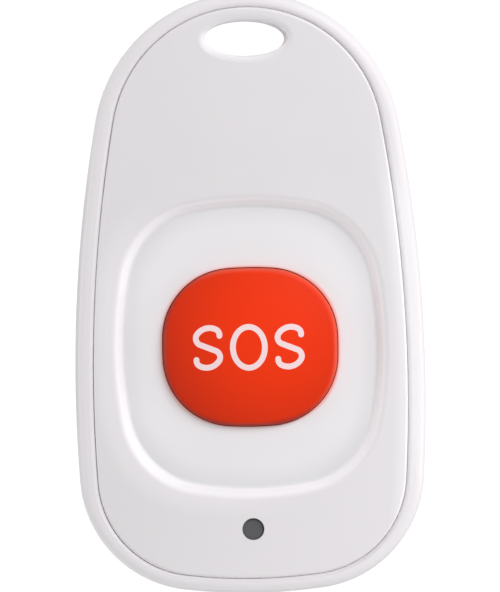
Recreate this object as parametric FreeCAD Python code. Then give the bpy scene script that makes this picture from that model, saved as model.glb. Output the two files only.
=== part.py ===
import FreeCAD, Part
import math
import os
from FreeCAD import Vector

# A carried wireless panic button, lying on its back, in millimetres.
# +Z leaves the face with the key, +Y points to the lanyard hole, and the
# origin is the middle of the footprint, on the resting face.

# Case outline: a top arc, two long side arcs, two corner arcs and a bottom arc
case_length = 72.0
case_width = 42.0
top_radius = 18.4
widest_from_bottom = 24.9
corner_radius = 14.1
bottom_radius = 65.0

# Case depth, walls and edges
face_height = 14.2
crown_radius = 215.0
back_edge_radius = 4.5
rim_radius = 1.2
back_wall = 1.8
side_wall = 3.0
seam_side_inset = 2.15
seam_end_inset = 1.77
seam_gap = 0.02
seam_plate_round = 0.35
seam_rim_round = 0.5
slide_gap = 0.1
press_gap = 0.02
rest_gap = 0.02

# Front cover plate and its locating skirt
plate_wall = 1.6
plate_edge_height = 12.42
skirt_wall = 1.0
skirt_depth = 2.7

# Perimeter seal in the step behind the seam
seal_thickness = 0.5
seal_margin = 0.07

# Lanyard hole through both covers
lanyard_hole_from_top = 5.5
lanyard_hole_length = 9.9
lanyard_hole_width = 4.3
lanyard_collar_wall = 1.2
lanyard_edge_radius = 0.8
collar_height = 11.6

# Shallow recess around the key
key_from_bottom = 29.5
recess_margin = 4.75
recess_length = 34.8
recess_end_radius = 45.0
recess_side_radius = 45.0
recess_corner_radius = 10.0
recess_depth = 1.2
recess_slope_width = 1.1
recess_top_round = 1.0
recess_bottom_round = 0.4
pan_wall = 1.2
pan_floor = 1.5

# Key cap
key_width = 20.9
key_length = 18.9
key_end_radius = 40.0
key_side_radius = 60.0
key_corner_radius = 8.3
key_top_height = 15.0
key_dome_radius = 48.0
key_edge_round = 0.8
key_gap = 0.12
key_wall = 1.5
key_flange_width = 1.2
key_flange_thickness = 0.8
key_flange_gap = 0.1
key_post_radius = 2.4

# Distress letters set flush in the key, as plain strokes of even width
letter_pitch = 4.89
letter_offset_x = -0.22
letter_stroke = 0.69
letter_depth = 0.3
round_letter_width = 4.52
round_letter_height = 5.58
curl_inner_radius = 0.832
curl_inner_turn = 103.5
curl_outer_radius = 1.8
curl_outer_turn = 80.3
curl_tip_radius = 0.767
curl_tip_turn = 70.7
curl_middle_length = 1.953
curl_middle_slope = -21.3

# Soft membrane under the key and the frame that holds it
membrane_web = 0.6
membrane_gap = 0.25
membrane_rim = 1.5
frame_thickness = 1.0
frame_rim = 1.4
frame_clearance = 0.2
stake_radius = 0.6
stake_head_radius = 1.1
stake_head_height = 0.5
stake_ear_radius = 1.4
stake_offset = 0.9

# Battery door, turned by a coin
door_recess_depth = 0.2
door_radius = 13.4
door_thickness = 1.7
door_gap = 0.2
door_lift_gap = 0.1
door_ledge_radius = 12.0
door_ledge_thickness = 1.0
door_neck_inner_radius = 10.4
door_neck_height = 2.2
door_lug_reach = 1.0
door_lug_height = 0.95
door_lug_angle = 25.0
door_notch_slack = 4.0
door_turn = 35.0
door_lug_count = 3
well_wall = 1.3
well_rise = 2.2
coin_slot_length = 13.0
coin_slot_width = 2.0
coin_slot_depth = 0.9
mark_radius = 0.45
mark_depth = 0.2
mark_margin = 1.5
ring_section_radius = 0.3
ring_groove_depth = 0.47
ring_groove_height = 0.7
ring_gap = 0.05

# Coin cell and its contacts
cell_radius = 10.0
cell_height = 3.2
cell_cap_radius = 8.8
cell_cap_step = 0.35
cell_edge_round = 0.3
contact_thickness = 0.2
contact_gap = 0.03
contact_angle = 24.0
contact_tab_reach = 2.4
spring_foot_length = 3.0
spring_foot_x = -7.5
spring_length = 6.5
spring_width = 3.0

# Circuit board and its posts
board_height = 5.7
board_thickness = 1.0
board_inset = 4.0
board_above_key = 23.9
post_radius = 1.6
post_inset = 7.8
post_below_screw = 9.5
board_screw_radius = 0.7
board_screw_length = 4.0
board_screw_head_radius = 1.4
board_screw_head_height = 0.8
peg_x = 6.5
peg_below_key = 18.5
peg_radius = 0.6
peg_rise = 0.5

# Case screws and their bosses
upper_screw_inset = 10.0
upper_screw_from_top = 15.0
lower_screw_inset = 8.8
lower_screw_from_bottom = 10.6
boss_radius = 2.7
boss_height = 5.0
boss_clearance = 0.3
screw_radius = 1.0
screw_hole_radius = 1.2
screw_length = 7.4
screw_head_radius = 1.75
screw_head_height = 1.2
screw_seat_height = 1.9
screw_seat_radius = 1.95
cross_length = 2.0
cross_width = 0.5
cross_depth = 0.6

# Tact switch
switch_width = 6.2
switch_height = 2.2
switch_lid_thickness = 0.3
switch_cavity_radius = 2.7
switch_base = 0.6
stem_radius = 1.75
stem_rise = 0.8
stem_flange_radius = 2.4
stem_flange_thickness = 0.4
dome_radius = 2.5
dome_rise = 0.5
dome_thickness = 0.12
dome_gap = 0.06
terminal_width = 0.9
terminal_reach = 1.0
terminal_thickness = 0.25
terminal_pitch = 4.5

# Light pipe over the indicator
light_from_bottom = 7.7
light_radius = 1.32
light_recess = 0.45
light_sleeve_wall = 0.9
light_sleeve_height = 9.4
light_flange_radius = 2.1
light_flange_thickness = 0.6
light_air_gap = 0.25
led_size = 1.6
led_height = 0.8

# Parts on the board
antenna_above_key = 20.7
antenna_radius = 1.5
antenna_wire_radius = 0.3
antenna_pitch = 1.6
antenna_turns = 9
antenna_rise = 0.4
antenna_foot_radius = 0.36
radio_chip_size = 4.0
radio_chip_height = 0.9
radio_chip_x = -8.5
radio_chip_above_key = 15.1
crystal_length = 3.2
crystal_width = 2.5
crystal_height = 0.75
crystal_x = -1.5
crystal_above_key = 15.7
chip_length = 1.6
chip_width = 0.8
chip_height = 0.6
capacitor_count = 4
capacitor_pitch = 1.9
capacitor_x = 3.0
capacitor_above_key = 15.5
resistor_count = 3
resistor_pitch = 1.9
resistor_x = -9.0
resistor_below_key = 14.0

# Heights and places that follow from the sizes above
up = Vector(0, 0, 1)
quarter_turn = 90
edge_samples = 3
half_width = case_width / 2
half_length = case_length / 2
key_y = key_from_bottom - half_length
widest_y = widest_from_bottom - half_length
light_y = light_from_bottom - half_length
lanyard_hole_y = half_length - lanyard_hole_from_top
board_top_y = key_y + board_above_key
antenna_y = key_y + antenna_above_key
recess_width = case_width - 2 * recess_margin
recess_floor_height = face_height - recess_depth
pan_underside = recess_floor_height - pan_floor
flange_top = pan_underside - key_flange_gap
flange_underside = flange_top - key_flange_thickness
membrane_top = flange_underside - rest_gap
membrane_underside = membrane_top - membrane_web
frame_underside = membrane_underside - frame_thickness
board_top = board_height + board_thickness
switch_top = board_top + switch_height
stem_top = switch_top + stem_rise
seal_seat = plate_edge_height - rest_gap - seal_thickness
skirt_bottom = plate_edge_height - skirt_depth
door_inside = door_recess_depth + door_thickness
door_recess_top = door_inside + door_lift_gap
ledge_top = door_recess_top + door_ledge_thickness
well_top = ledge_top + well_rise
door_recess_radius = door_radius + door_gap
neck_radius = door_ledge_radius - door_gap
lug_radius = neck_radius + door_lug_reach
well_radius = lug_radius + door_gap
well_outer_radius = max(well_radius, door_recess_radius) + well_wall
cell_bottom = door_inside + rest_gap
cell_top = cell_bottom + cell_height
sides = (-1, 1)
screw_places = [(side * (half_width - upper_screw_inset), half_length - upper_screw_from_top)
                for side in sides]
screw_places += [(side * (half_width - lower_screw_inset), lower_screw_from_bottom - half_length)
                 for side in sides]
post_y = half_length - upper_screw_from_top - post_below_screw
post_places = [(side * (half_width - post_inset), post_y) for side in sides]
peg_places = [(side * peg_x, key_y - peg_below_key) for side in sides]
stake_reach = key_flange_width + membrane_gap + membrane_rim + stake_offset
stake_places = [(side * (key_width / 2 + stake_reach), key_y) for side in sides]
stake_places += [(0, key_y + side * (key_length / 2 + stake_reach)) for side in sides]


def joint_angle(first, second):
    """Direction from both centres to the point where two arcs of an outline touch."""
    large, small = (first, second) if first[2] > second[2] else (second, first)
    return math.atan2(small[1] - large[1], small[0] - large[0])


def corner_arc(end, side, radius):
    """Arc (x, y, radius) that touches an end arc and a side arc from inside."""
    dx = side[0] - end[0]
    dy = side[1] - end[1]
    apart = math.hypot(dx, dy)
    end_reach = end[2] - radius
    side_reach = side[2] - radius
    along = (end_reach**2 - side_reach**2 + apart**2) / (2 * apart)
    across = math.sqrt(end_reach**2 - along**2)
    places = [(end[0] + (along * dx + turn * across * dy) / apart,
               end[1] + (along * dy - turn * across * dx) / apart) for turn in sides]
    return (*max(places), radius)


def case_arcs(side_inset, end_inset):
    """Right half of the case outline, bottom to top, moved inwards at its sides and ends."""
    top_arc_radius = top_radius - side_inset
    top = (0, half_length - end_inset - top_arc_radius, top_arc_radius)
    width = half_width - side_inset
    rise = top[1] - widest_y
    side_radius = (width**2 + rise**2 - top_arc_radius**2) / (2 * (width - top_arc_radius))
    side = (width - side_radius, widest_y, side_radius)
    bottom = (0, bottom_radius - half_length, bottom_radius - end_inset)
    return [bottom, corner_arc(bottom, side, corner_radius - side_inset), side, top]


def pillow_arcs(width, length, end_radius, side_radius, corner):
    """Right half of a rounded square about the key's centre, bottom to top."""
    reach = length / 2 - end_radius
    low = (0, key_y - reach, end_radius)
    high = (0, key_y + reach, end_radius)
    side = (width / 2 - side_radius, key_y, side_radius)
    return [low, corner_arc(low, side, corner), side, corner_arc(high, side, corner), high]


def grown(arcs, amount):
    """The same outline moved outwards, or inwards for a negative amount."""
    return [(x, y, radius + amount) for x, y, radius in arcs]


def arc_edge(arc, low, high, height):
    x, y, radius = arc
    return Part.ArcOfCircle(Part.Circle(Vector(x, y, height), up, radius), low, high).toShape()


def outline_wire(arcs, height):
    """Closed wire from the right half's arcs and their mirror images."""
    joints = [joint_angle(first, second) for first, second in zip(arcs, arcs[1:])]
    spans = list(zip(arcs, [-math.pi - joints[0]] + joints, joints + [math.pi - joints[-1]]))
    edges = [arc_edge(arc, low, high, height) for arc, low, high in spans]
    for (x, y, radius), low, high in reversed(spans[1:-1]):
        edges.append(arc_edge((-x, y, radius), math.pi - high, math.pi - low, height))
    return Part.Wire(edges)


def prism(arcs, low, high):
    return Part.Face(outline_wire(arcs, low)).extrude(up * (high - low))


def cylinder(place, radius, low, high):
    return Part.makeCylinder(radius, high - low, Vector(place[0], place[1], low))


def block(place, size_x, size_y, low, high):
    corner = Vector(place[0] - size_x / 2, place[1] - size_y / 2, low)
    return Part.makeBox(size_x, size_y, high - low, corner)


def oval(place, length, width, low, high):
    """Elliptic prism, length along X and width along Y."""
    centre = Vector(place[0], place[1], low)
    curve = Part.Ellipse(centre, max(length, width) / 2, min(length, width) / 2)
    solid = Part.Face(Part.Wire(curve.toShape())).extrude(up * (high - low))
    if width > length:
        solid.rotate(centre, up, quarter_turn)
    return solid


def sector(inner, outer, low, high, middle, width):
    """Part of a ring about the key's axis, centred on an angle in degrees."""
    ring = Part.makeCylinder(outer, high - low, Vector(0, key_y, low), up, width)
    ring.rotate(Vector(0, key_y, 0), up, middle - width / 2)
    return ring.cut(cylinder((0, key_y), inner, low, high))


def joined(shapes):
    return shapes[0].multiFuse(shapes[1:]).removeSplitter()


def under_crown(drop):
    """All that lies under the crowned front face lowered by a depth."""
    radius = crown_radius - drop
    centre = face_height - crown_radius
    edge_height = centre + math.sqrt(radius**2 - case_width**2)
    left = Vector(-case_width, -case_length, edge_height)
    right = Vector(case_width, -case_length, edge_height)
    middle = Vector(0, -case_length, centre + radius)
    down = up * -(edge_height + face_height)
    edges = [Part.Arc(left, middle, right).toShape()]
    for start, end in ((right, right + down), (right + down, left + down), (left + down, left)):
        edges.append(Part.LineSegment(start, end).toShape())
    return Part.Face(Part.Wire(edges)).extrude(Vector(0, 2 * case_length, 0))


def edges_between(shape, low, high):
    """Edges that lie wholly between two heights."""
    return [edge for edge in shape.Edges
            if edge.BoundBox.ZMin > low and edge.BoundBox.ZMax < high]


case = case_arcs(0, 0)
seam = case_arcs(seam_side_inset, seam_end_inset)
cavity = grown(case, -side_wall)
recess = pillow_arcs(recess_width, recess_length, recess_end_radius, recess_side_radius,
                     recess_corner_radius)
key = pillow_arcs(key_width, key_length, key_end_radius, key_side_radius, key_corner_radius)
key_flange = grown(key, key_flange_width)
membrane_inner = grown(key_flange, membrane_gap)
membrane_outer = grown(membrane_inner, membrane_rim)
low_of_all = -face_height
high_of_all = 2 * face_height


def screw_seats():
    """Counterbores and clearance holes of the four case screws."""
    seats = [cylinder(place, screw_seat_radius, low_of_all, screw_seat_height) for place in screw_places]
    holes = [cylinder(place, screw_hole_radius, low_of_all, boss_height + slide_gap)
             for place in screw_places]
    return seats + holes


def marks():
    """Shallow dots beside the door: shut at the top, open where the lugs meet the notches."""
    ring = door_recess_radius + mark_margin
    dots = []
    for angle in (0, -door_turn):
        turn = math.radians(angle)
        place = (ring * math.sin(turn), key_y + ring * math.cos(turn))
        dots.append(cylinder(place, mark_radius, low_of_all, mark_depth))
    return dots


def rear_cover():
    shell = prism(case, 0, high_of_all).common(under_crown(0))
    shell = shell.makeFillet(rim_radius, edges_between(shell, plate_edge_height - rim_radius, high_of_all))
    shell = shell.makeFillet(back_edge_radius, edges_between(shell, low_of_all, slide_gap))
    shell = shell.cut(prism(seam, seal_seat, high_of_all))
    inner_edges = [edge for edge in shell.Edges if on_crown(edge, 0) and inside_rim(edge)]
    shell = shell.makeFillet(seam_rim_round, inner_edges)
    shell = shell.cut(prism(cavity, back_wall, high_of_all))
    inside = prism(cavity, 0, seal_seat)
    collar = lanyard_collar(back_wall, collar_height).common(inside)
    well = cylinder((0, key_y), well_outer_radius, back_wall, well_top)
    bosses = [cylinder(place, boss_radius, back_wall, boss_height).common(inside) for place in screw_places]
    posts = [cylinder(place, post_radius, back_wall, board_height) for place in post_places + peg_places]
    pegs = [cylinder(place, peg_radius, back_wall, board_top + peg_rise) for place in peg_places]
    shell = joined([shell, collar, well, *bosses, *posts, *pegs])
    cuts = [cylinder((0, key_y), door_recess_radius, low_of_all, door_recess_top)]
    cuts.append(cylinder((0, key_y), door_ledge_radius, low_of_all, well_top))
    cuts.append(cylinder((0, key_y), well_radius, ledge_top, well_top))
    for angle in lug_angles():
        cuts.append(sector(neck_radius, well_radius, door_inside, ledge_top + slide_gap,
                           angle - door_turn, door_lug_angle + door_notch_slack))
    cuts.append(oval((0, lanyard_hole_y), lanyard_hole_length, lanyard_hole_width, low_of_all, high_of_all))
    for place in post_places:
        cuts.append(cylinder(place, board_screw_radius + press_gap,
                             board_top - board_screw_length - slide_gap, board_top))
    shell = shell.cut(cuts + screw_seats() + marks())
    hole_edges = [edge for edge in edges_between(shell, -slide_gap, slide_gap) if at_lanyard_hole(edge)]
    return shell.makeFillet(lanyard_edge_radius, hole_edges)


def lug_angles():
    return [360 / door_lug_count * index for index in range(door_lug_count)]


def recess_tool():
    """The recess as cut from the face: a sloped wall over a floor that follows the crown."""
    low_outline = grown(recess, -recess_slope_width / 2)
    high_outline = grown(recess, recess_slope_width / 2)
    slope = recess_slope_width / recess_depth
    rise = high_of_all - recess_floor_height
    wires = [outline_wire(grown(low_outline, -slope * recess_depth), recess_floor_height - recess_depth),
             outline_wire(grown(high_outline, slope * (rise - recess_depth)), high_of_all)]
    tool = Part.makeLoft(wires, True, True)
    return tool.cut(under_crown(recess_depth))


def front_face():
    """Crowned plate with the recess and the pan that closes it from below."""
    plate = prism(grown(seam, -seam_gap), plate_edge_height, high_of_all).common(under_crown(0))
    hollow = prism(grown(cavity, -slide_gap - skirt_wall), low_of_all, high_of_all)
    plate = plate.cut(hollow.common(under_crown(plate_wall)))
    pan = prism(grown(recess, recess_slope_width / 2 + pan_wall), pan_underside, high_of_all)
    face = joined([plate, pan.common(room_under_face())]).cut(recess_tool())
    floor_edges = [edge for edge in face.Edges if on_crown(edge, recess_depth) and near_recess(edge)]
    face = face.makeFillet(recess_bottom_round, floor_edges)
    rim_edges = [edge for edge in face.Edges if on_crown(edge, 0) and near_recess(edge)]
    face = face.makeFillet(recess_top_round, rim_edges)
    outer_edges = [edge for edge in face.Edges if on_crown(edge, 0) and not near_recess(edge)]
    return face.makeFillet(seam_plate_round, outer_edges)


def room_under_face():
    """Space inside the skirt, up to the middle of the plate's thickness."""
    return prism(grown(cavity, -slide_gap), low_of_all, high_of_all).common(under_crown(plate_wall / 2))


def lanyard_collar(low, high):
    return oval((0, lanyard_hole_y), lanyard_hole_length + 2 * lanyard_collar_wall,
                lanyard_hole_width + 2 * lanyard_collar_wall, low, high)


def front_cover():
    skirt_outline = grown(cavity, -slide_gap)
    skirt = prism(skirt_outline, skirt_bottom, plate_edge_height + skirt_wall)
    skirt = skirt.cut([prism(grown(skirt_outline, -skirt_wall), low_of_all, high_of_all),
                       lanyard_collar(low_of_all, collar_height + slide_gap)])
    extras = [lanyard_collar(collar_height + slide_gap, high_of_all)]
    for place in screw_places:
        extras.append(cylinder(place, boss_radius - slide_gap, boss_height + slide_gap, high_of_all))
    sleeve_radius = light_radius + light_sleeve_wall
    extras.append(cylinder((0, light_y), sleeve_radius, light_sleeve_height, high_of_all))
    for place in stake_places:
        extras.append(cylinder(place, stake_radius, frame_underside, high_of_all))
        head_low = frame_underside - stake_head_height
        extras.append(cylinder(place, stake_head_radius, head_low, frame_underside))
    room = room_under_face().cut(recess_tool())
    body = joined([front_face(), skirt, *[extra.common(room) for extra in extras]])
    cuts = [prism(grown(key, key_gap), low_of_all, high_of_all)]
    cuts.append(cylinder((0, light_y), light_radius, low_of_all, high_of_all))
    cuts.append(oval((0, lanyard_hole_y), lanyard_hole_length, lanyard_hole_width, low_of_all, high_of_all))
    for place in screw_places:
        cuts.append(cylinder(place, screw_radius + press_gap, low_of_all,
                             screw_seat_height + screw_length + slide_gap))
    body = body.cut(cuts)
    hole_edges = [edge for edge in body.Edges if on_crown(edge, 0) and at_lanyard_hole(edge)]
    return body.makeFillet(lanyard_edge_radius, hole_edges)


def at_lanyard_hole(edge):
    """True if an edge is part of the lanyard hole's rim."""
    box = edge.BoundBox
    return box.YMin > lanyard_hole_y - lanyard_hole_width and box.XLength < 2 * lanyard_hole_length


def on_crown(edge, drop):
    """True if an edge lies on the crowned face lowered by a depth."""
    radius = crown_radius - drop
    centre = face_height - crown_radius
    points = edge.discretize(edge_samples)
    return all(abs(math.hypot(point.x, point.z - centre) - radius) < rest_gap for point in points)


def inside_rim(edge):
    """True if an edge runs along the seam rather than along the rim's outer round."""
    ring = prism(grown(seam, rest_gap), low_of_all, high_of_all).cut(
        prism(grown(seam, -rest_gap), low_of_all, high_of_all))
    return all(ring.isInside(point, rest_gap, True) for point in edge.discretize(edge_samples))


def near_recess(edge):
    """True if an edge runs along the recess outline rather than round another feature."""
    width = recess_width / 2 + recess_slope_width
    length = recess_length / 2 + recess_slope_width
    box = edge.BoundBox
    middle_y = (box.YMin + box.YMax) / 2 - key_y
    return box.XMin > -width and box.XMax < width and abs(middle_y) < length


def perimeter_seal():
    outer = prism(grown(seam, -seal_margin), seal_seat, seal_seat + seal_thickness)
    return outer.cut(prism(grown(cavity, seal_margin), seal_seat, high_of_all))


def dome(drop):
    """The ball whose top is the key's crown, lowered by a depth, with its poles along Y."""
    ball = Part.makeSphere(key_dome_radius - drop)
    ball.rotate(Vector(0, 0, 0), Vector(1, 0, 0), quarter_turn)
    ball.translate(Vector(0, key_y, key_top_height - key_dome_radius))
    return ball


def key_cap():
    cap = prism(key, flange_underside, high_of_all).common(dome(0))
    cap = cap.makeFillet(key_edge_round, edges_between(cap, flange_top, key_top_height - rest_gap))
    flange = prism(key_flange, flange_underside, flange_top)
    hollow = prism(grown(key, -key_wall), low_of_all, high_of_all).common(dome(key_wall))
    post = cylinder((0, key_y), key_post_radius, flange_underside, high_of_all).common(dome(key_wall / 2))
    cap = joined([joined([cap, flange]).cut(hollow), post])
    return cap.cut(letters())


def ahead(heading):
    return Vector(math.cos(heading), math.sin(heading), 0)


def across(heading):
    return Vector(-math.sin(heading), math.cos(heading), 0)


def stroke(heading, path):
    """Face of a round-ended stroke along runs (length, turn), each bent by its turn in radians."""
    half = letter_stroke / 2
    point = Vector(0, 0, 0)
    left = []
    right = []
    side = across(heading)
    first_cap = Part.Arc(side * -half, ahead(heading) * -half, side * half).toShape()
    for length, turn in path:
        side = across(heading)
        last_side = across(heading + turn)
        middle_side = across(heading + turn / 2)
        chord = length if turn == 0 else 2 * length / abs(turn) * math.sin(abs(turn) / 2)
        end = point + ahead(heading + turn / 2) * chord
        if turn == 0:
            left.append(Part.LineSegment(point + side * half, end + side * half).toShape())
            right.append(Part.LineSegment(point - side * half, end - side * half).toShape())
        else:
            radius = length / abs(turn)
            bulge = math.copysign(radius, turn)
            centre = point + side * bulge
            for edges, shift in ((left, half), (right, -half)):
                middle = centre - middle_side * (bulge - shift)
                edges.append(Part.Arc(point + side * shift, middle, end + last_side * shift).toShape())
        heading += turn
        point = end
    side = across(heading)
    tip = point + ahead(heading) * half
    last_cap = Part.Arc(point + side * half, tip, point - side * half).toShape()
    return Part.Face(Part.Wire([first_cap, *left, last_cap, *reversed(right)]))


def curled_letter(x):
    """An S of even stroke: the same curl on both ends of a straight middle."""
    curl = [(curl_tip_radius, curl_tip_turn), (curl_outer_radius, curl_outer_turn),
            (curl_inner_radius, curl_inner_turn)]
    runs = [(radius * math.radians(turn), math.radians(turn)) for radius, turn in curl]
    path = runs + [(curl_middle_length, 0)] + [(length, -turn) for length, turn in reversed(runs)]
    heading = math.radians(curl_middle_slope) - sum(turn for length, turn in runs)
    face = stroke(heading, path)
    face.translate(Vector(x, key_y, low_of_all) - face.CenterOfMass)
    return face


def letters():
    places = [letter_offset_x + side * letter_pitch for side in (-1, 0, 1)]
    height = high_of_all - low_of_all
    ring = oval((places[1], key_y), round_letter_width, round_letter_height, low_of_all, high_of_all)
    ring = ring.cut(oval((places[1], key_y), round_letter_width - 2 * letter_stroke,
                         round_letter_height - 2 * letter_stroke, low_of_all, high_of_all))
    curls = [curled_letter(place).extrude(up * height) for place in places[::2]]
    return Part.makeCompound([shape.cut(dome(letter_depth)) for shape in (*curls, ring)])


def key_legend():
    return Part.makeCompound([letter.common(dome(0)) for letter in letters().Solids])


def key_membrane():
    rim = prism(membrane_outer, membrane_underside, pan_underside)
    rim = rim.cut(prism(membrane_inner, membrane_top, high_of_all))
    boss = cylinder((0, key_y), stem_radius, stem_top + rest_gap, membrane_top)
    return joined([rim, boss])


def membrane_frame():
    low = frame_underside
    high = membrane_underside
    ears = [cylinder(place, stake_ear_radius, low, high) for place in stake_places]
    ring = joined([prism(membrane_outer, low, high), *ears])
    cuts = [prism(grown(membrane_outer, -frame_rim), low_of_all, high_of_all)]
    cuts += [cylinder(place, stake_radius + press_gap, low_of_all, high_of_all) for place in stake_places]
    room = prism(grown(cavity, -slide_gap - skirt_wall - frame_clearance), low, high)
    return ring.common(room).cut(cuts)


def light_pipe():
    led_top = board_top + led_height
    tube = cylinder((0, light_y), light_radius - press_gap, led_top + light_air_gap,
                    face_height - light_recess)
    flange_high = light_sleeve_height - rest_gap
    flange = cylinder((0, light_y), light_flange_radius, flange_high - light_flange_thickness, flange_high)
    return joined([tube, flange])


def battery_door():
    disc = cylinder((0, key_y), door_radius, door_recess_depth, door_inside)
    neck = cylinder((0, key_y), neck_radius, door_inside, door_inside + door_neck_height)
    neck = neck.cut(cylinder((0, key_y), door_neck_inner_radius, door_inside, high_of_all))
    lug_high = door_inside + door_neck_height
    lugs = [sector(door_neck_inner_radius, lug_radius, lug_high - door_lug_height, lug_high,
                   angle, door_lug_angle) for angle in lug_angles()]
    groove_low = door_recess_depth + (door_thickness - ring_groove_height) / 2
    groove = cylinder((0, key_y), 2 * door_radius, groove_low, groove_low + ring_groove_height)
    groove = groove.cut(cylinder((0, key_y), door_radius - ring_groove_depth, low_of_all, high_of_all))
    slot_low = door_recess_depth + coin_slot_depth
    slot = block((0, key_y), coin_slot_length - coin_slot_width, coin_slot_width, low_of_all, slot_low)
    ends = [cylinder((side * (coin_slot_length - coin_slot_width) / 2, key_y), coin_slot_width / 2,
                     low_of_all, slot_low) for side in sides]
    mark = cylinder((0, key_y + door_radius - mark_margin), mark_radius, low_of_all,
                    door_recess_depth + mark_depth)
    return joined([disc, neck, *lugs]).cut([groove, slot, *ends, mark])


def door_seal():
    middle = door_recess_depth + door_thickness / 2
    radius = door_recess_radius - ring_gap - ring_section_radius
    return Part.makeTorus(radius, ring_section_radius, Vector(0, key_y, middle))


def coin_cell():
    can = cylinder((0, key_y), cell_radius, cell_bottom, cell_top - cell_cap_step)
    rims = [edge for edge in can.Edges if edge.BoundBox.ZLength < rest_gap]
    can = can.makeFillet(cell_edge_round, rims)
    cap = cylinder((0, key_y), cell_cap_radius, cell_top - 2 * cell_cap_step, cell_top)
    return joined([can, cap])


def positive_contact():
    """Curved blade beside the cell's can, with a tab under the board."""
    inner = cell_radius + contact_gap
    outer = inner + contact_thickness
    blade = sector(inner, outer, cell_bottom + contact_thickness, board_height, 0, contact_angle)
    tab = sector(inner, outer + contact_tab_reach, board_height - contact_thickness, board_height,
                 0, contact_angle)
    return joined([blade, tab])


def negative_contact():
    """Sloped leaf from a foot under the board to the cell's cap."""
    foot_low = board_height - contact_thickness
    tip_low = cell_top + contact_gap
    slope_end = spring_foot_x + spring_foot_length + spring_length
    tip = slope_end + spring_foot_length / 2
    start = spring_foot_x + spring_foot_length
    corners = [(spring_foot_x, foot_low), (start, foot_low), (slope_end, tip_low), (tip, tip_low),
               (tip, tip_low + contact_thickness), (slope_end, tip_low + contact_thickness),
               (start, board_height), (spring_foot_x, board_height)]
    points = [Vector(x, key_y - spring_width / 2, z) for x, z in corners]
    leaf = Part.Face(Part.makePolygon(points + points[:1]))
    return leaf.extrude(Vector(0, spring_width, 0))


def circuit_board():
    board = prism(grown(case, -board_inset), board_height, board_top)
    cuts = [block((0, board_top_y + half_length), case_width, case_length, low_of_all, high_of_all)]
    for places, radius in ((screw_places, boss_radius + boss_clearance),
                           (post_places, board_screw_radius + slide_gap),
                           (peg_places, peg_radius + slide_gap)):
        cuts += [cylinder(place, radius, low_of_all, high_of_all) for place in places]
    return board.cut(cuts)


def cross_recess(place, low, high):
    along = block(place, cross_length, cross_width, low, high)
    across = block(place, cross_width, cross_length, low, high)
    return joined([along, across])


def case_screws():
    screws = []
    for place in screw_places:
        head_low = screw_seat_height - screw_head_height
        head = cylinder(place, screw_head_radius, head_low, screw_seat_height - rest_gap)
        shank = cylinder(place, screw_radius, head_low, screw_seat_height + screw_length)
        screws.append(joined([head, shank]).cut(cross_recess(place, head_low, head_low + cross_depth)))
    return Part.makeCompound(screws)


def board_screws():
    screws = []
    for place in post_places:
        seat = board_top + rest_gap
        head = cylinder(place, board_screw_head_radius, seat, seat + board_screw_head_height)
        shank = cylinder(place, board_screw_radius, board_top - board_screw_length, seat)
        head_high = seat + board_screw_head_height
        cross = cross_recess(place, head_high - cross_depth, head_high)
        screws.append(joined([head, shank]).cut(cross))
    return Part.makeCompound(screws)


def switch_body():
    centre = (0, key_y)
    body = block(centre, switch_width, switch_width, board_top, switch_top - switch_lid_thickness)
    return body.cut(cylinder(centre, switch_cavity_radius, board_top + switch_base, high_of_all))


def switch_lid():
    lid = block((0, key_y), switch_width, switch_width, switch_top - switch_lid_thickness, switch_top)
    return lid.cut(cylinder((0, key_y), stem_radius + slide_gap, low_of_all, high_of_all))


def switch_dome():
    """Thin sprung cap that clicks down under the stem."""
    base = board_top + switch_base
    radius = (dome_radius**2 + dome_rise**2) / (2 * dome_rise)
    centre = Vector(0, key_y, base + dome_rise - radius)
    side = Vector(1, 0, 0)
    cap = Part.makeSphere(radius, centre, side).cut(Part.makeSphere(radius - dome_thickness, centre, side))
    return cap.common(cylinder((0, key_y), dome_radius, base, high_of_all))


def switch_stem():
    flange_low = board_top + switch_base + dome_rise + dome_gap
    flange = cylinder((0, key_y), stem_flange_radius, flange_low, flange_low + stem_flange_thickness)
    return joined([flange, cylinder((0, key_y), stem_radius, flange_low, stem_top)])


def switch_terminals():
    legs = []
    for side_x in sides:
        for side_y in sides:
            place = (side_x * (switch_width + terminal_reach) / 2, key_y + side_y * terminal_pitch / 2)
            legs.append(block(place, terminal_reach, terminal_width, board_top,
                              board_top + terminal_thickness))
    return Part.makeCompound(legs)


def antenna_coil():
    """Wire coil across the board on two straight legs."""
    length = antenna_pitch * antenna_turns
    middle = board_top + antenna_rise + antenna_wire_radius + antenna_radius
    helix = Part.makeHelix(antenna_pitch, length, antenna_radius)
    circle = Part.Circle(Vector(antenna_radius, 0, 0), Vector(0, 1, 0), antenna_wire_radius)
    coil = Part.Wire(helix.Edges).makePipeShell([Part.Wire(circle.toShape())], True, True)
    coil.rotate(Vector(0, 0, 0), Vector(0, 1, 0), quarter_turn)
    coil.translate(Vector(-length / 2, antenna_y, middle))
    pieces = [coil]
    for side in sides:
        place = (side * length / 2, antenna_y)
        pieces.append(cylinder(place, antenna_foot_radius, board_top, middle - antenna_radius))
        pieces.append(Part.makeSphere(antenna_foot_radius, Vector(*place, middle - antenna_radius)))
    return joined(pieces)


def radio_chip():
    return block((radio_chip_x, key_y + radio_chip_above_key), radio_chip_size, radio_chip_size, board_top,
                 board_top + radio_chip_height)


def crystal():
    return block((crystal_x, key_y + crystal_above_key), crystal_length, crystal_width, board_top,
                 board_top + crystal_height)


def led_chip():
    return block((0, light_y), led_size, led_size, board_top, board_top + led_height)


def chip_row(count, pitch, x, y):
    chips = [block((x + pitch * index, y), chip_width, chip_length, board_top, board_top + chip_height)
             for index in range(count)]
    return Part.makeCompound(chips)


def chip_capacitors():
    return chip_row(capacitor_count, capacitor_pitch, capacitor_x, key_y + capacitor_above_key)


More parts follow.
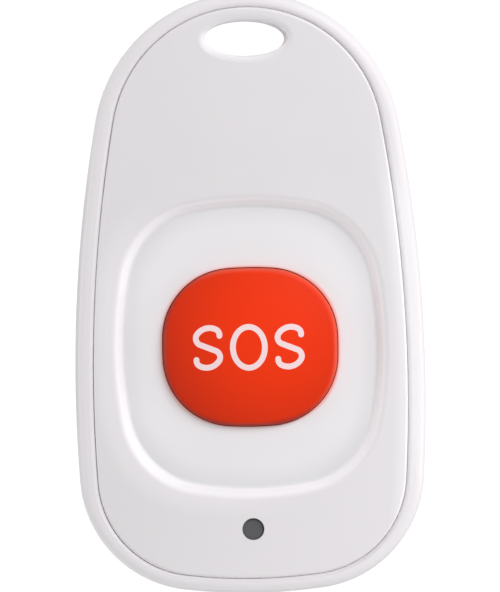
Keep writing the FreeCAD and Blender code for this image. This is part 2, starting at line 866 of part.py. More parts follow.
def chip_resistors():
    return chip_row(resistor_count, resistor_pitch, resistor_x, key_y - resistor_below_key)


nodes = [front_cover, rear_cover, perimeter_seal, key_cap, key_legend, key_membrane, membrane_frame,
         light_pipe, battery_door, door_seal, coin_cell, positive_contact, negative_contact,
         circuit_board, case_screws, board_screws, switch_body, switch_lid, switch_dome, switch_stem,
         switch_terminals, antenna_coil, radio_chip, crystal, led_chip, chip_capacitors, chip_resistors]

os.makedirs("parts", exist_ok=True)
for node in nodes:
    shape = node()
    shape.exportStep("parts/" + node.__name__ + ".step")
    print(node.__name__, len(shape.Solids), shape.isValid(), round(shape.Volume, 2))
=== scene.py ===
import math
import bmesh
import bpy
import numpy as np
from mathutils import Matrix, Vector


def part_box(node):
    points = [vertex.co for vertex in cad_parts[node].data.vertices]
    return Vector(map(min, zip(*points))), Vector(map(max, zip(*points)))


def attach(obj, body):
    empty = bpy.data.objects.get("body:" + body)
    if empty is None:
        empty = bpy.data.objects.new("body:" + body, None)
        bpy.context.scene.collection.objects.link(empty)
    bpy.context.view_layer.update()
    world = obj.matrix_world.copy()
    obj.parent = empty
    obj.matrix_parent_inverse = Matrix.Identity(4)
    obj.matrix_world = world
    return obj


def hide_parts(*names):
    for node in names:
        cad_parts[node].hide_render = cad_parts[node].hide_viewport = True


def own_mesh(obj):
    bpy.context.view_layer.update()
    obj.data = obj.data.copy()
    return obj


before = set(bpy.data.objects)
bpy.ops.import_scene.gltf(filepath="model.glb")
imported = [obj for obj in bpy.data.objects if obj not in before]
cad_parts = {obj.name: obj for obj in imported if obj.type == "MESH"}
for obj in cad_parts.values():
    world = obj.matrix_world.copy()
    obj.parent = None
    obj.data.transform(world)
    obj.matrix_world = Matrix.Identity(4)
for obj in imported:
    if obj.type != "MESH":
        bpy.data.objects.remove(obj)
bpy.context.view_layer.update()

# A white wireless panic button on its back, with its orange key and smoked
# indicator window. Sizes are in millimetres until they become meshes, tones
# are display values from 0 to 255, and a pair named for a span holds the two
# values between which a mask rises from 0 to 1.
millimetre = 0.001

# Places on the case that the finishes follow
face_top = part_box("front_cover")[1].z / millimetre
crown_radius = 215.0
case_half_width = 21.0
case_widest_y = -11.1
case_narrowing = 0.0029
key_low, key_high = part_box("key_cap")
key_flange_width = 1.2
key_y = (key_low.y + key_high.y) / 2 / millimetre
key_half_width = (key_high.x - key_low.x) / 2 / millimetre - key_flange_width
key_half_length = (key_high.y - key_low.y) / 2 / millimetre - key_flange_width
key_power = 2.5
recess_half_width = 16.25
recess_half_length = 17.4
recess_power = 3.0
recess_reach = 18.6
recess_fade = 0.5
light_low, light_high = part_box("light_pipe")
light_y = (light_low.y + light_high.y) / 2 / millimetre
light_radius = 1.32

# Grain and drift of the plastics and metals
drift_size = 9.0
tarnish_size = 3.0
white_grain = 0.22
orange_grain = 0.25
window_grain = 0.4
plastic_detail = 4.0
smooth_detail = 3.0
white_roughness = 0.42
white_relief = 0.006
plastic_spread = 0.08
metal_relief = 0.004
metal_spread = 0.15

# White of the plate: dark and light drift, and a paler tone towards the window lamp, which is painted light
plate_tones = ((229, 226, 229), (234, 230, 233), (238, 234, 237))
painted_window_light_span = (0.0, 45.0)
# Painted light: the plate's rounded edges are paler, lifting the shade of the seam
painted_plate_edge_light_tone = (244, 241, 244)
painted_plate_edge_light_depth_span = (0.1, 0.4)
# Painted light: paler beside the seam along the right side
painted_seam_light_tone = (249, 246, 249)
painted_seam_light_span = (2.2, 4.2)
painted_seam_light_end_span = (8.0, 22.0)
# Painted light: a paler halo round the recess at its left and below
painted_recess_halo_tone = (244, 240, 243)
painted_recess_halo_span = (1.15, 1.7)
painted_recess_halo_lean = (-0.9, -0.45)
painted_recess_halo_lean_span = (0.0, 13.0)
painted_recess_halo_strength = 0.75

# White of the recess, paler than the plate as painted light and a little less pale at its ends, and the
# painted shade at the foot of its wall
recess_depth_span = (0.0, 0.25)
painted_pale_recess_tones = ((245, 243, 246), (249, 247, 250))
painted_pale_recess_end_tones = ((242, 240, 243), (246, 244, 247))
recess_end_span = (7.0, 13.0)
# Painted shade at the foot of the recess wall
painted_foot_shade_tone = (230, 229, 232)
painted_foot_shade_span = (0.5, 1.0)
painted_foot_shade_depth_span = (0.95, 1.18)

# Painted reflection of the key's orange on the plastic beside it, and painted orange light in its gap
painted_reflection_reach = 1.13
painted_reflection_tones = ((252, 206, 198), (254, 158, 148))
painted_reflection_lean = (0.7, 0.6)
painted_reflection_lean_span = (-3.0, 5.0)
painted_gap_light_tone = (255, 120, 96)
painted_gap_light_depth_span = (1.22, 1.3)

# White of the rim: a paler tone towards the window lamp and paler parts, which are painted light, and a
# greyer bottom, which is painted shade
rim_tones = ((234, 230, 233), (238, 234, 237), (243, 239, 242))
# Painted light on the rim
painted_rim_light_tone = (253, 250, 253)
rim_right_facing_span = (-0.6, 0.0)
rim_right_lean = (1.0, 0.25)
rim_right_lean_span = (-8.0, 8.0)
rim_right_middle = -4.0
rim_right_end_span = (12.0, 24.0)
rim_seam_facing_span = (0.7, 0.95)
# Painted shade beside the seam at the bottom
painted_rim_bottom_shade_tone = (229, 225, 228)
rim_bottom_facing_span = (0.0, 0.3)
rim_bottom_span = (26.0, 32.0)
rim_left_facing_span = (0.4, 0.9)
rim_left_lean = (-1.0, -0.4)
rim_left_lean_span = (-4.0, 8.0)
rim_left_middle = -2.0
rim_left_end_span = (10.0, 22.0)

# Orange of the key, with a painted highlight and painted shade: brightest at a spot right of and above its
# middle, with a darker rounded edge and a paler side wall, which are painted shade and light
orange_tones = ((248, 53, 4), (251, 57, 6))
painted_shade_orange_tone = (200, 44, 11)
painted_highlight_spot = (2.2, 2.25)
shade_across = 0.0056
shade_along = 0.0048
shade_start = 0.06
key_edge_span = (0.86, 0.98)
# Painted shade and light on the key's rounded edge
painted_key_edge_tones = ((228, 80, 55), (168, 42, 25))
key_edge_lean = (-1.0, -1.0)
key_edge_lean_span = (-8.0, 4.0)
# Painted light on the key's side wall in its gap
painted_key_side_light_tone = (255, 120, 90)
painted_key_side_light_span = (12.9, 13.1)
key_roughness = 0.45
key_relief = 0.004
key_specular = 0.15

# Smoked window, with painted shade on its edge and a painted shadow at its upper right
window_tones = ((78, 77, 80), (90, 89, 92))
painted_window_shadow_tone = (14, 12, 16)
window_edge_inset = (0.36, 0.12)
painted_window_shadow_lean = (0.77, 0.64)
painted_window_shadow_lean_start = -0.6
painted_window_shade_least = 0.25
window_roughness = 0.3
window_relief = 0.002
window_spread = 0.1

# Case screws with their heads down, and board screws with their heads up
case_screw_places = [(-11.0, 21.0), (11.0, 21.0), (-12.2, -25.4), (12.2, -25.4)]
case_screw = {"head_radius": 1.75, "head_height": 1.18, "shank_radius": 1.0}
board_screw_places = [(-13.2, 11.5), (13.2, 11.5)]
board_screw = {"head_radius": 1.4, "head_height": 0.8, "shank_radius": 0.7}
head_crown = 0.16
head_edge = 0.18
head_start = 0.02
cross_reach = 1.0
cross_half_width = 0.25
cross_depth = 0.6
cross_side_slope = 0.06
cross_end_slope = 0.2
thread_pitch = 0.8
thread_depth = 0.17
thread_start = 0.5
thread_run_in = 0.3
ridge_height = 2.2
ridge_slope = 6
tip_length = 1.1
tip_radius_share = 0.55
screw_facets = 96
face_rings = 40
edge_rings = 5
shank_rings = 100
screw_turn = 0.7
sharp_angle = 40

# Soft sheet under the key, whose middle goes down with the key, and the switch's dome
sheet_facets = 192
sheet_split = 0.998
boss_radius = 1.75
level_slack = 0.005
double_distance = 1e-7

# View of the photograph
image_width = 500
image_height = 592
scale_in_view = 8.305
camera_distance = 1000.0
view_target = (0.0, 0.0, 8.0)
target_in_image = (248.5, 292.0)
camera_roll = 0.9
camera_pitch = 0.99
camera_yaw = 1.35
sensor = 36.0
nearest_seen = 0.01
farthest_seen = 10

# Floor and surround
pure_white = (1, 1, 1, 1)
floor_half = 1500.0
floor_gap = 0.03
floor_albedo = 0.2
floor_glow = 0.94
light_from_above = 0.48
light_from_below = 0.12
horizon_span = (-0.1, 0.1)


def make_camera():
    """Camera nearly above the face, at the photograph's scale, lean and framing."""
    turn = (Matrix.Rotation(math.radians(camera_roll), 3, "Z")
            @ Matrix.Rotation(math.radians(camera_pitch), 3, "X")
            @ Matrix.Rotation(math.radians(camera_yaw), 3, "Y"))
    aside = (target_in_image[0] - image_width / 2) / scale_in_view
    above = (image_height / 2 - target_in_image[1]) / scale_in_view
    back = turn.transposed()
    place = Vector(view_target) + back @ Vector((-aside, -above, camera_distance))
    data = bpy.data.cameras.new("camera")
    data.sensor_width = sensor
    data.lens = scale_in_view * camera_distance / image_height * sensor
    data.clip_start = nearest_seen
    data.clip_end = farthest_seen
    camera = bpy.data.objects.new("camera", data)
    camera.matrix_world = Matrix.Translation(place * millimetre) @ back.to_4x4()
    bpy.context.scene.collection.objects.link(camera)
    bpy.context.scene.camera = camera


class Socket:
    """A node's output that adds Math nodes where it is used in an expression."""

    def __init__(self, finish, link):
        self.finish = finish
        self.link = link

    def maths(self, operation, first, second):
        return self.finish.node("Math", {"operation": operation}, {0: first, 1: second})

    def __add__(self, other):
        return self.maths("ADD", self, other)

    def __radd__(self, other):
        return self.maths("ADD", other, self)

    def __sub__(self, other):
        return self.maths("SUBTRACT", self, other)

    def __rsub__(self, other):
        return self.maths("SUBTRACT", other, self)

    def __mul__(self, other):
        return self.maths("MULTIPLY", self, other)

    def __rmul__(self, other):
        return self.maths("MULTIPLY", other, self)

    def __pow__(self, other):
        return self.maths("POWER", self, other)

    def __abs__(self):
        return self.maths("ABSOLUTE", self, 0.0)

    def ramp(self, low, high):
        """0 below low and 1 above high, with a smooth rise between them."""
        return self.finish.node("MapRange", {"interpolation_type": "SMOOTHSTEP"},
                                {"Value": self, "From Min": low, "From Max": high})


class Finish:
    """The node tree of a material or world, and the one way in which its nodes are added."""

    def __init__(self, owner):
        self.owner = owner
        owner.use_nodes = True
        self.tree = owner.node_tree
        self.tree.nodes.clear()

    def node(self, kind, settings, inputs, output=0):
        made = self.tree.nodes.new("ShaderNode" + kind)
        for name, value in settings.items():
            setattr(made, name, value)
        for name, value in inputs.items():
            if isinstance(value, Socket):
                self.tree.links.new(value.link, made.inputs[name])
            else:
                made.inputs[name].default_value = value
        return Socket(self, made.outputs[output]) if made.outputs else made

    def split(self, vector):
        """The three parts of a vector, as numbers."""
        return [self.node("SeparateXYZ", {}, {"Vector": vector}, axis) for axis in range(3)]

    def place(self):
        """Object coordinates in millimetres."""
        coordinates = self.node("TexCoord", {}, {}, "Object")
        return self.node("VectorMath", {"operation": "SCALE"}, {0: coordinates, "Scale": 1 / millimetre})

    def noise(self, size, detail=2.0):
        """Noise from 0 to 1 whose spots are about size millimetres across."""
        return self.node("TexNoise", {}, {"Vector": self.place(), "Scale": 1 / size, "Detail": detail})

    def blend(self, factor, first, second):
        """Colour between two colours, each a socket or display values."""
        ends = [end if isinstance(end, Socket) else colour(*end) for end in (first, second)]
        return self.node("Mix", {"data_type": "RGBA"}, {0: factor, 6: ends[0], 7: ends[1]}, 2)

    def surface(self, tone, fine, roughness, depth, spread=plastic_spread, **settings):
        """Principled surface with a fine grain, depth millimetres high, that varies the roughness."""
        relief = {"Height": fine, "Distance": depth * millimetre, "Strength": 1.0}
        inputs = {"Base Color": tone, "Roughness": roughness + spread * (fine - 0.5),
                  "Normal": self.node("Bump", {}, relief)}
        inputs.update({name.replace("_", " "): value for name, value in settings.items()})
        shader = self.node("BsdfPrincipled", {}, inputs)
        self.node("OutputMaterial", {}, {"Surface": shader})
        return self.owner


def new_finish(name):
    return Finish(bpy.data.materials.new(name))


def colour(red, green, blue):
    """Linear colour from display values 0 to 255."""
    parts = [part / 255 for part in (red, green, blue)]
    linear = [part / 12.92 if part < 0.04045 else ((part + 0.055) / 1.055) ** 2.4 for part in parts]
    return (*linear, 1)


def lean(x, y, direction):
    """How far a place lies towards a direction."""
    return x * direction[0] + y * direction[1]


def spread_out(x, up, half_width, half_length, power):
    """Sum |x / a|^n + |y / b|^n about the key's middle, which is 1 on a rounded outline."""
    return (abs(x) * (1 / half_width)) ** power + (abs(up) * (1 / half_length)) ** power


def shell_tone(finish, x, y, tones):
    """White that drifts between two tones, and turns to a paler third towards the window lamp, which is
    painted light.
    """
    dark, light, lit = tones
    drifting = finish.blend(finish.noise(drift_size), dark, light)
    # Painted light: paler towards the window lamp
    return finish.blend((x - y).ramp(*painted_window_light_span), drifting, lit)


def moulded(name, light, dark, roughness, grain, depth):
    """Moulded plastic or rubber: tone that drifts slowly, and a fine spark-eroded grain."""
    finish = new_finish(name)
    tone = finish.blend(finish.noise(drift_size), dark, light)
    return finish.surface(tone, finish.noise(grain, plastic_detail), roughness, depth)


def metal(name, light, dark, roughness, grain):
    """Plated or drawn metal with a slow tarnish and a fine surface grain."""
    finish = new_finish(name)
    tone = finish.blend(finish.noise(tarnish_size), dark, light)
    fine = finish.noise(grain, smooth_detail)
    return finish.surface(tone, fine, roughness, metal_relief, metal_spread, Metallic=1.0)


def face_plastic():
    """White plastic of the front cover: a paler recess, which is painted light, with a painted reflection of
    the key's orange in it.

    The depth below the crown, face_top - x^2 / 2R - z, tells the plate from the recess and from
    the key's gap. The plate is paler on its rounded edges, beside the seam at the right, and
    round the recess at its left and below, all of it painted light, and the recess is greyer at
    the foot of its wall, which is painted shade. Both follow the sum of cubes that is 1 on the
    recess's outline. The painted reflection follows a like sum on the key's, and is strongest at
    the key's upper right, and in the key's gap the plastic is painted orange light.
    """
    finish = new_finish("white_face")
    x, y, z = finish.split(finish.place())
    up = y - key_y
    depth = face_top - x * x * (0.5 / crown_radius) - z
    beyond = spread_out(x, up, recess_half_width, recess_half_length, recess_power)
    shell = shell_tone(finish, x, y, plate_tones)
    from_edge = case_half_width - case_narrowing * ((y - case_widest_y) * (y - case_widest_y)) - x
    # Painted light beside the seam at the right
    painted_seam_light = (1 - from_edge.ramp(*painted_seam_light_span)) * (1 - y.ramp(*painted_seam_light_end_span))
    shell = finish.blend(painted_seam_light, shell, painted_seam_light_tone)
    # Painted light on the plate's rounded edges
    shell = finish.blend(depth.ramp(*painted_plate_edge_light_depth_span), shell, painted_plate_edge_light_tone)
    # Painted light: a halo round the recess at its left and below
    painted_halo_side = painted_recess_halo_strength * lean(x, up, painted_recess_halo_lean).ramp(*painted_recess_halo_lean_span)
    shell = finish.blend((1 - beyond.ramp(*painted_recess_halo_span)) * painted_halo_side, shell, painted_recess_halo_tone)
    drift = finish.noise(drift_size)
    # Painted light: the recess floor is paler, a little less at its ends
    floor = finish.blend(drift, *painted_pale_recess_tones)
    floor = finish.blend(abs(up).ramp(*recess_end_span), floor, finish.blend(drift, *painted_pale_recess_end_tones))
    # Painted shade at the foot of the recess wall
    painted_foot_shade = beyond.ramp(*painted_foot_shade_span) * depth.ramp(*painted_foot_shade_depth_span)
    floor = finish.blend(painted_foot_shade, floor, painted_foot_shade_tone)
    in_recess = depth.ramp(*recess_depth_span)
    in_recess = in_recess * (1 - abs(up).ramp(recess_reach, recess_reach + recess_fade))
    tone = finish.blend(in_recess, shell, floor)
    # Painted reflection of the key's orange beside it, strongest at its upper right
    beside_key = spread_out(x, up, key_half_width, key_half_length, key_power)
    beside_key = 1 - beside_key.ramp(1.0, painted_reflection_reach)
    painted_reflection = finish.blend(lean(x, up, painted_reflection_lean).ramp(*painted_reflection_lean_span), *painted_reflection_tones)
    tone = finish.blend(beside_key * in_recess, tone, painted_reflection)
    # Painted orange light in the key's gap
    tone = finish.blend(beside_key * depth.ramp(*painted_gap_light_depth_span), tone, painted_gap_light_tone)
    return finish.surface(tone, finish.noise(white_grain, plastic_detail), white_roughness, white_relief)


def rim_plastic():
    """White plastic of the rear cover, by how far the surface faces the case's middle.

    It is paler, as painted light, on the walls of the seam, on the top of the rim along its right
    side, and on the outermost part at the upper and lower left. Beside the seam at the bottom it is
    greyer, which is painted shade. Towards the window lamp it turns paler, which is painted light.
    """
    finish = new_finish("white_rim")
    x, y = finish.split(finish.place())[:2]
    across, along = finish.split(finish.node("TexCoord", {}, {}, "Normal"))[:2]
    inward = 0 - (x * across + y * along) * (x * x + y * y) ** -0.5
    # Painted light on the rim: the walls of the seam, the right side and the upper and lower left
    at_right = inward.ramp(*rim_right_facing_span) * lean(x, y, rim_right_lean).ramp(*rim_right_lean_span)
    at_right = at_right * (1 - abs(y - rim_right_middle).ramp(*rim_right_end_span))
    at_left = (0 - inward).ramp(*rim_left_facing_span) * lean(x, y, rim_left_lean).ramp(*rim_left_lean_span)
    at_left = at_left * abs(y - rim_left_middle).ramp(*rim_left_end_span)
    painted_rim_light = inward.ramp(*rim_seam_facing_span)
    for part in (at_right, at_left):
        painted_rim_light = painted_rim_light + part - painted_rim_light * part
    # Painted shade beside the seam at the bottom
    painted_bottom_shade = inward.ramp(*rim_bottom_facing_span) * (0 - y).ramp(*rim_bottom_span)
    shell = finish.blend(painted_bottom_shade, shell_tone(finish, x, y, rim_tones), painted_rim_bottom_shade_tone)
    tone = finish.blend(painted_rim_light, shell, painted_rim_light_tone)
    return finish.surface(tone, finish.noise(white_grain, plastic_detail), white_roughness, white_relief)


def key_plastic():
    """Satin orange plastic of the key.

    It darkens with the square of the distance from a bright spot right of and above the key's
    middle, a painted highlight and painted shade. Its rounded edge is darker at the lower left and
    paler elsewhere, which is painted shade and light, and its side wall is paler all round, which
    is painted light in the key's gap.
    """
    finish = new_finish("orange_key")
    x, y, z = finish.split(finish.place())
    up = y - key_y
    aside = x - painted_highlight_spot[0]
    above = up - painted_highlight_spot[1]
    # Painted highlight and shade: darker with the distance from the bright spot
    shade = aside * aside * shade_across + above * above * shade_along - shade_start
    bright = finish.blend(finish.noise(drift_size), *orange_tones)
    tone = finish.blend(shade, bright, painted_shade_orange_tone)
    # Painted shade and light on the rounded edge, darkest at the lower left
    at_edge = spread_out(x, up, key_half_width, key_half_length, key_power).ramp(*key_edge_span)
    edge = finish.blend(lean(x, up, key_edge_lean).ramp(*key_edge_lean_span), *painted_key_edge_tones)
    tone = finish.blend(at_edge, tone, edge)
    # Painted light on the side wall in the key's gap
    tone = finish.blend(z.ramp(*painted_key_side_light_span), painted_key_side_light_tone, tone)
    return finish.surface(tone, finish.noise(orange_grain, plastic_detail), key_roughness, key_relief,
                          Specular_IOR_Level=key_specular)


def smoked_plastic():
    """Smoked window: grey, with a dark edge of painted shade, faint all round and darkest at its upper
    right, where it is the painted shadow of the hole's wall.
    """
    finish = new_finish("smoked_window")
    x, y = finish.split(finish.place())[:2]
    up = y - light_y
    fine = finish.noise(window_grain, smooth_detail)
    reach = (x * x + up * up) ** 0.5
    # Painted shade on the window's edge, with a painted shadow at its upper right
    at_edge = reach.ramp(*[light_radius - inset for inset in window_edge_inset])
    upper_right = lean(x, up, painted_window_shadow_lean).ramp(painted_window_shadow_lean_start, light_radius)
    shade = at_edge * (painted_window_shade_least + (1 - painted_window_shade_least) * upper_right)
    tone = finish.blend(shade, finish.blend(fine, *window_tones), painted_window_shadow_tone)
    return finish.surface(tone, fine, window_roughness, window_relief, window_spread)


def dress(material, *names):
    for name in names:
        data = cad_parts[name].data
        data.materials.clear()
        data.materials.append(material)


# Plain finishes: light tone, dark tone, roughness, size of the grain and, for a plastic, its height
silicone = moulded("soft_silicone", (198, 200, 202), (188, 190, 192), 0.55, 0.3, 0.006)
rubber = moulded("seal_rubber", (34, 34, 36), (26, 26, 28), 0.62, 0.2, 0.008)
inner = moulded("inner_plastic", (60, 61, 64), (52, 53, 56), 0.5, 0.2, 0.006)
resin = moulded("chip_resin", (38, 38, 40), (30, 30, 32), 0.55, 0.1, 0.006)
steel = metal("plated_steel", (196, 198, 202), (176, 178, 182), 0.3, 0.15)
plated = metal("contact_metal", (214, 200, 158), (196, 182, 140), 0.28, 0.1)

dress(face_plastic(), "front_cover")
dress(rim_plastic(), "rear_cover")
dress(moulded("white_housing", (234, 230, 233), (229, 226, 229), white_roughness, white_grain, white_relief),
      "battery_door")
dress(key_plastic(), "key_cap")
# White print, tinted pink as a painted reflection of the orange key
dress(moulded("legend_white", (255, 228, 230), (253, 223, 225), 0.4, 0.25, 0.004), "key_legend")
dress(smoked_plastic(), "light_pipe")
dress(silicone, "key_membrane")
dress(rubber, "perimeter_seal", "door_seal")
dress(inner, "membrane_frame", "switch_stem")
dress(moulded("board_laminate", (34, 88, 54), (26, 74, 44), 0.35, 0.5, 0.01), "circuit_board")
dress(resin, "switch_body", "radio_chip", "chip_resistors")
dress(moulded("capacitor_ceramic", (176, 150, 118), (160, 134, 102), 0.45, 0.15, 0.004), "chip_capacitors")
dress(moulded("led_resin", (240, 226, 160), (232, 214, 140), 0.2, 0.3, 0.002), "led_chip")
dress(steel, "case_screws", "board_screws", "switch_lid", "crystal")
dress(metal("cell_steel", (214, 215, 216), (200, 201, 203), 0.26, 0.1), "coin_cell")
dress(plated, "positive_contact", "negative_contact", "switch_dome", "switch_terminals")
dress(metal("copper_wire", (206, 132, 92), (186, 112, 74), 0.28, 0.1), "antenna_coil")


def around(count):
    """Even angles round a full turn."""
    return np.linspace(0, 2 * np.pi, count, endpoint=False)


def screw_rings(length, head_radius, head_height, shank_radius):
    """Rings (ring, place, xyz) of a cross-head screw, from the middle of its head to its tip.

    The depth w below the head's top is a shallow bowl w = crown (r / R)^2, plus the cross: its
    full depth where the smaller of |x| and |y| is under the arm's half width and the larger is
    under the arm's reach. A quarter round leads to the head's side, and a flat to the shank.
    The shank's radius falls from its full size by the thread depth between ridges, which follow
    w / pitch + angle / turn, and it shrinks with the square of the way along the tip.
    """
    turn = around(screw_facets)
    reach = np.linspace(head_start, 1, face_rings)[:, None] * (head_radius - head_edge)
    x = reach * np.cos(turn)
    y = reach * np.sin(turn)
    arm = np.minimum(np.abs(x), np.abs(y))
    far = np.maximum(np.abs(x), np.abs(y))
    inside = np.clip((cross_half_width - arm) / cross_side_slope, 0, 1)
    inside = inside * np.clip((cross_reach - far) / cross_end_slope, 0, 1)
    face = np.stack([x, y, head_crown * (reach / head_radius) ** 2 + cross_depth * inside], axis=-1)
    bend = np.linspace(0, np.pi / 2, edge_rings + 1)[1:]
    face_edge = head_crown * (1 - head_edge / head_radius) ** 2
    side = np.concatenate([head_radius - head_edge * (1 - np.sin(bend)), [head_radius, shank_radius]])
    side_depth = np.concatenate([face_edge + head_edge * (1 - np.cos(bend)), [head_height, head_height]])
    side = side[:, None]
    head = np.stack([side * np.cos(turn), side * np.sin(turn), side_depth[:, None] + 0 * turn], axis=-1)
    depth = np.linspace(head_height, length, shank_rings)[1:, None]
    phase = depth / thread_pitch + turn / (2 * np.pi)
    ridge = np.clip(ridge_height - ridge_slope * np.abs(phase % 1 - 0.5), 0, 1)
    threaded = np.clip((depth - head_height - thread_start) / thread_run_in, 0, 1)
    slender = np.clip((depth - length + tip_length) / tip_length, 0, 1) ** 2
    radius = shank_radius - thread_depth * (1 - ridge) * threaded
    radius = radius * (1 - (1 - tip_radius_share) * slender)
    shank = np.stack([radius * np.cos(turn), radius * np.sin(turn), depth + 0 * turn], axis=-1)
    return np.concatenate([face, head, shank])


def ring_faces(rings, count):
    """Quads between neighbouring rings, and a fan of triangles to a pole at each end."""
    place = np.arange(count)
    after = (place + 1) % count
    low = np.arange(rings - 1)[:, None] * count
    high = low + count
    quads = np.stack([low + place, high + place, high + after, low + after], axis=-1).reshape(-1, 4)
    first = np.stack([0 * place + rings * count, place, after], axis=-1)
    last = (rings - 1) * count
    second = np.stack([0 * place + rings * count + 1, last + after, last + place], axis=-1)
    return quads, np.concatenate([first, second])


def show_piece(name, node, points, faces, material, body):
    """Closed mesh from points in millimetres, which stands for a node and rides on a body."""
    mesh = bpy.data.meshes.new(name)
    mesh.from_pydata((points * millimetre).tolist(), [], faces)
    mesh.shade_smooth()
    mesh.set_sharp_from_angle(angle=math.radians(sharp_angle))
    mesh.materials.append(material)
    piece = bpy.data.objects.new(name, mesh)
    bpy.context.scene.collection.objects.link(piece)
    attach(piece, body)
    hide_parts(node)
    return piece


def screw_set(name, node, places, form, head_down):
    """One mesh of like screws, each turned by its own angle about its axis."""
    low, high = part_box(node)
    length = (high.z - low.z) / millimetre
    rings = screw_rings(length, **form)
    quads, fans = ring_faces(*rings.shape[:2])
    poles = np.stack([rings[0].mean(axis=0), rings[-1].mean(axis=0)])
    local = np.concatenate([rings.reshape(-1, 3), poles])
    points = []
    faces = []
    for index, place in enumerate(places):
        angle = index * screw_turn
        x = local[:, 0] * math.cos(angle) - local[:, 1] * math.sin(angle)
        y = local[:, 0] * math.sin(angle) + local[:, 1] * math.cos(angle)
        z = low.z / millimetre + local[:, 2] if head_down else high.z / millimetre - local[:, 2]
        side = -1 if head_down else 1
        points.append(np.stack([place[0] + x, place[1] + side * y, z], axis=-1))
        faces += (quads + index * len(local)).tolist() + (fans + index * len(local)).tolist()
    show_piece(name, node, np.concatenate(points), faces, steel, "housing")


def outline_at(points, level):
    """Outline (x, y) that points far from the key's axis draw at one level, at even angles.

    Between neighbouring points x and y both go evenly with the angle about the key's axis.
    """
    near = np.abs(points[:, 2] - level) < level_slack
    x = points[near, 0]
    y = points[near, 1] - key_y
    far = np.hypot(x, y) > 2 * boss_radius
    angle = np.arctan2(y[far], x[far])
    ends = [np.interp(around(sheet_facets), angle, values[far], period=2 * np.pi) for values in (x, y)]
    return np.stack(ends, axis=-1)


def ring_at(outline, level):
    """Points of an outline about the key's middle, at one level."""
    return np.concatenate([outline + (0, key_y), np.full((sheet_facets, 1), level)], axis=-1)


def soft_sheet():
    """Membrane in two pieces: the clamped edge, and the middle with the boss, which the key takes down.

    The edge is a closed ring of four corners: outer and inner outline, at the top and at the
    underside. The middle is the inner outline from the web's top to its underside, then the
    circle x^2 + y^2 = boss_radius^2 down to the boss's end. Both are upright, with flat ends.
    """
    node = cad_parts["key_membrane"]
    points = np.array([corner.co for corner in node.data.vertices]) / millimetre
    boss_end, underside, web_top, edge_top = np.unique(points[:, 2].round(3))
    outer = outline_at(points, underside)
    inner = outline_at(points, web_top)
    turn = around(sheet_facets)
    boss = boss_radius * np.stack([np.cos(turn), np.sin(turn)], axis=-1)
    edge = [ring_at(outer, edge_top), ring_at(outer, underside),
            ring_at(inner, underside), ring_at(inner, edge_top)]
    closed = ring_faces(len(edge) + 1, sheet_facets)[0] % (len(edge) * sheet_facets)
    show_piece("membrane_edge", "key_membrane", np.concatenate(edge), closed.tolist(),
               silicone, "housing")
    web = inner * sheet_split
    middle = [ring_at(web, web_top), ring_at(web, underside),
              ring_at(boss, underside), ring_at(boss, boss_end)]
    quads, fans = ring_faces(len(middle), sheet_facets)
    poles = np.array([(0, key_y, web_top), (0, key_y, boss_end)])
    show_piece("membrane_middle", "key_membrane", np.concatenate([*middle, poles]),
               quads.tolist() + fans.tolist(), silicone, "key")


def snap_dome():
    """Copy of the switch's dome with its doubles merged, on a mesh of its own."""
    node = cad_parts["switch_dome"]
    work = bmesh.new()
    work.from_mesh(node.data)
    bmesh.ops.remove_doubles(work, verts=work.verts, dist=double_distance)
    points = np.array([corner.co for corner in work.verts]) / millimetre
    faces = [[corner.index for corner in face.verts] for face in work.faces]
    work.free()
    piece = show_piece("snap_dome", "switch_dome", points, faces, plated, "housing")
    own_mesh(piece)


screw_set("cross_head_case_screws", "case_screws", case_screw_places, case_screw, True)
screw_set("cross_head_board_screws", "board_screws", board_screw_places, board_screw, False)
soft_sheet()
snap_dome()


def lamp(name, place, size, power):
    """Soft square lamp turned to the case; place and size in millimetres, power in watts."""
    data = bpy.data.lights.new(name, "AREA")
    data.shape = "RECTANGLE"
    data.size = size * millimetre
    data.size_y = size * millimetre
    data.energy = power
    lit = bpy.data.objects.new(name, data)
    lit.location = Vector(place) * millimetre
    lit.rotation_euler = (Vector(view_target) - Vector(place)).to_track_quat("-Z", "Y").to_euler()
    lit.visible_camera = False
    bpy.context.scene.collection.objects.link(lit)


def seen_directly(finish):
    """1 for rays from the camera, and for those that metal or glass send on."""
    sorts = [finish.node("LightPath", {}, {}, sort)
             for sort in ("Is Camera Ray", "Is Glossy Ray", "Is Transmission Ray")]
    return sorts[0] + sorts[1] + sorts[2]


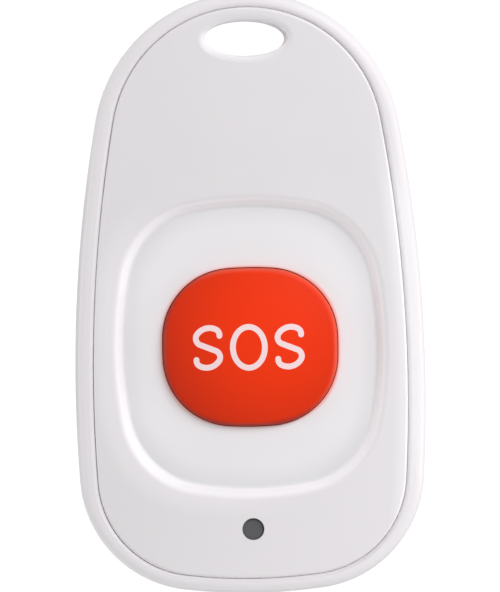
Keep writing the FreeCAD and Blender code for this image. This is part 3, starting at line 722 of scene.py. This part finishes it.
def make_floor():
    """Pale floor that reads as white and keeps a faint shadow; from below it is clear as glass.

    Only rays that come from above and are seen directly meet the paper, so that the back of the
    case is seen from below, and lit through the floor.
    """
    mesh = bpy.data.meshes.new("floor")
    corners = [(across * floor_half, along * floor_half, -floor_gap)
               for across, along in ((-1, -1), (1, -1), (1, 1), (-1, 1))]
    mesh.from_pydata([Vector(corner) * millimetre for corner in corners], [], [(0, 1, 2, 3)])
    floor = bpy.data.objects.new("floor", mesh)
    bpy.context.scene.collection.objects.link(floor)
    finish = new_finish("floor_paper")
    matt = finish.node("BsdfDiffuse", {}, {"Color": (floor_albedo, floor_albedo, floor_albedo, 1)})
    glow = finish.node("Emission", {}, {"Color": pure_white, "Strength": floor_glow * seen_directly(finish)})
    paper = finish.node("AddShader", {}, {0: matt, 1: glow})
    clear = finish.node("BsdfTransparent", {}, {"Color": pure_white})
    from_below = finish.node("NewGeometry", {}, {}, "Backfacing")
    on_paper = seen_directly(finish) * (1 - from_below)
    sheet = finish.node("MixShader", {}, {0: on_paper, 1: clear, 2: paper})
    finish.node("OutputMaterial", {}, {"Surface": sheet})
    mesh.materials.append(finish.owner)


def make_world():
    """Even surround light that is dimmer from below, and white where it is seen directly."""
    world = bpy.data.worlds.new("surround")
    bpy.context.scene.world = world
    finish = Finish(world)
    above = finish.split(finish.node("TexCoord", {}, {}, "Generated"))[2].ramp(*horizon_span)
    strength = light_from_below + (light_from_above - light_from_below) * above
    strength = strength + (1 - strength) * seen_directly(finish)
    background = finish.node("Background", {}, {"Color": pure_white, "Strength": strength})
    finish.node("OutputWorld", {}, {"Surface": background})


make_camera()
make_world()
make_floor()
lamp("window_light", (250, 250, 350), 250, 1.08)
lamp("right_light", (400, 0, 80), 150, 0.45)
lamp("left_light", (-400, 0, 80), 150, 0.42)
lamp("top_light", (0, 400, 80), 150, 0.2)
lamp("bottom_light", (0, -400, 80), 150, 0.26)
lamp("under_light", (0, 150, -350), 150, 0.9)
bpy.context.scene.view_settings.view_transform = "Standard"
